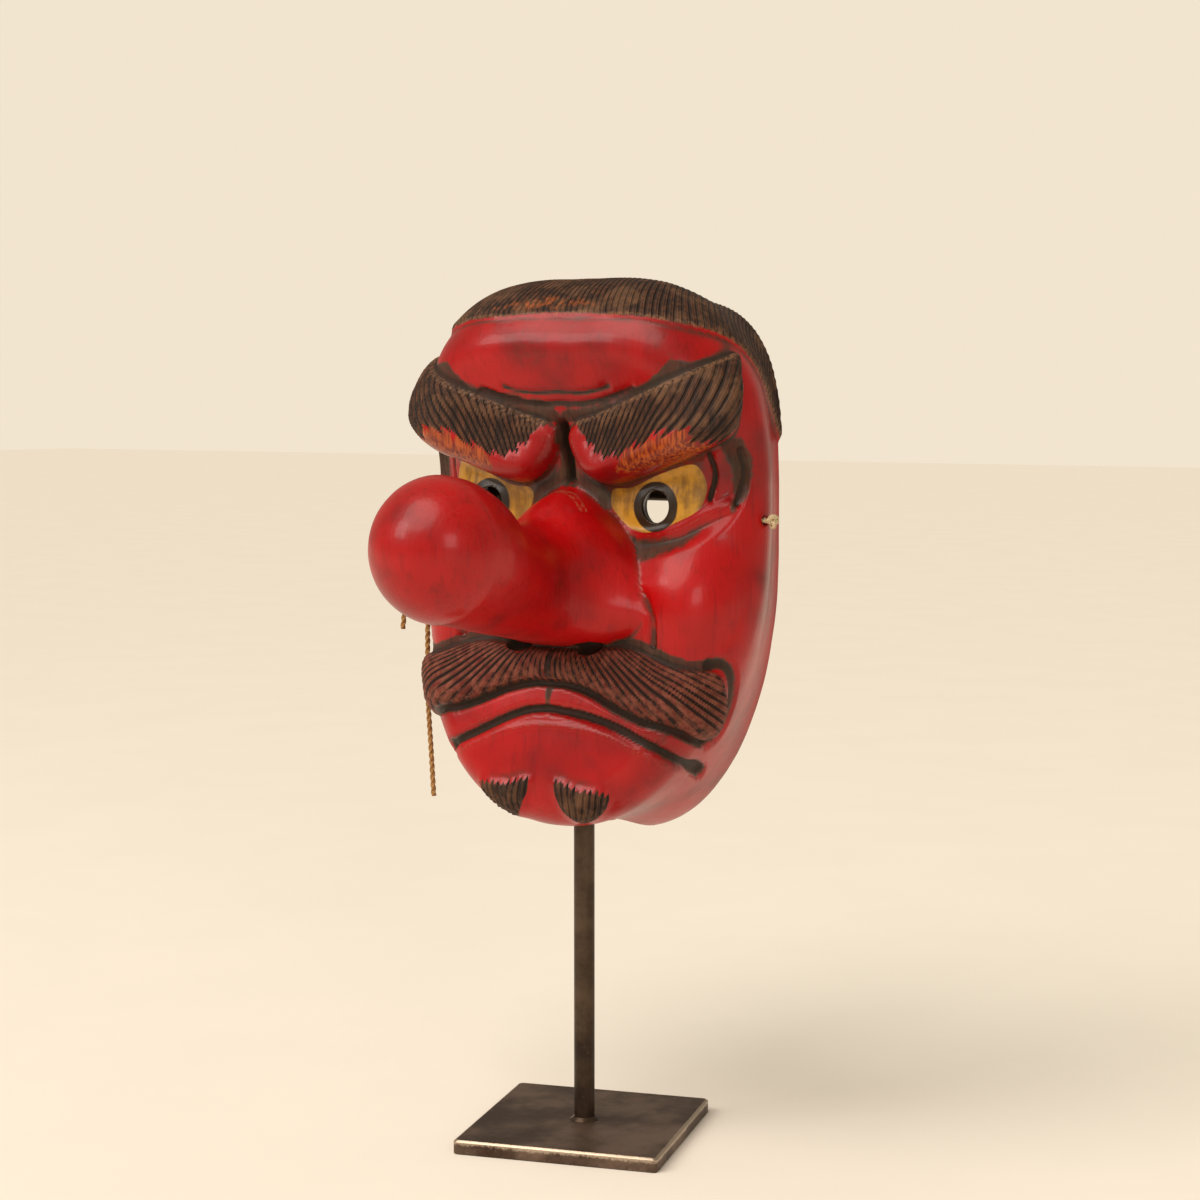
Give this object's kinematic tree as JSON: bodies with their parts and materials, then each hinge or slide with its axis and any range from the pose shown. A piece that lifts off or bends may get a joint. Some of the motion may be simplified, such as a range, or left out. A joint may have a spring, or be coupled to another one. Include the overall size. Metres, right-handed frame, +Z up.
{
  "type": "tengu mask on a stand",
  "caption": "Carved wooden long-nosed goblin mask, painted red, with a hollow back, pierced eyes and a tying cord, held up on a square-footed steel post.",
  "frame": {"origin": "middle of the base plate's underside, where the stand rests", "axes": "+Z up along the post, the mask faces -Y, +X is the viewer's right of the mask"},
  "size_m": [0.1728, 0.1675, 0.3301],
  "materials": {
    "painted_wood": "glossy red paint over carved wood, dark brown hair",
    "hemp_cord": "twisted hemp",
    "plate_steel": "brown patinated steel with worn bright edges",
    "post_steel": "brown patinated steel"
  },
  "bodies": {
    "root": {"mask": "painted_wood", "tie_cord": "hemp_cord", "tie_knot_near": "hemp_cord", "tie_knot_far": "hemp_cord", "tie_end_long": "hemp_cord", "tie_end_short": "hemp_cord", "stand_plate": "plate_steel", "stand_post": "post_steel"}
  },
  "joints": []
}
